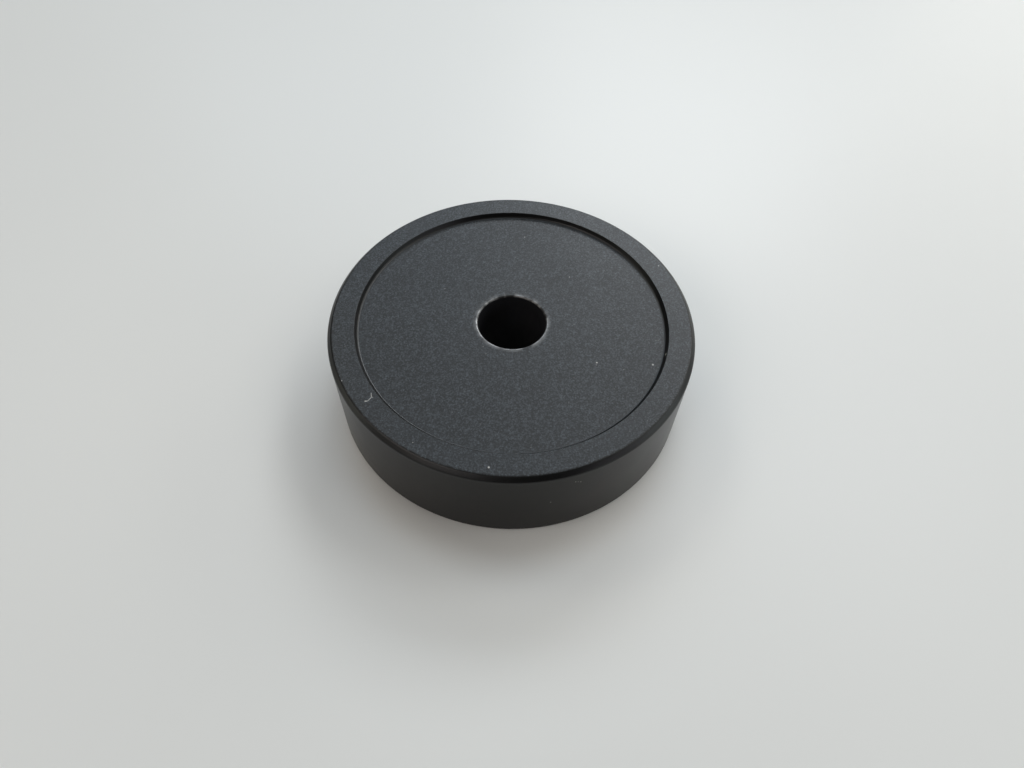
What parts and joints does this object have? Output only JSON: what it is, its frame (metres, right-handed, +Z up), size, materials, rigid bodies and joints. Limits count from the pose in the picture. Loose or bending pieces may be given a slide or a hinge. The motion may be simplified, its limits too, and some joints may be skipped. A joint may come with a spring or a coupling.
{
  "type": "record spindle adapter",
  "caption": "Flat turned disc with a shallow recessed top, a raised bevelled rim and a central through bore; it centres a large-hole record on a thin turntable spindle.",
  "frame": {"origin": "middle of the underside, on the axis of the spindle bore", "axes": "+Z up along the bore towards the recessed top; X and Y lie in the underside"},
  "size_m": [0.038, 0.038, 0.0102],
  "materials": {
    "black_anodised": "bead-blasted black anodised top with a smoother satin side wall"
  },
  "bodies": {
    "root": {"adapter_disc": "black_anodised"}
  },
  "joints": []
}
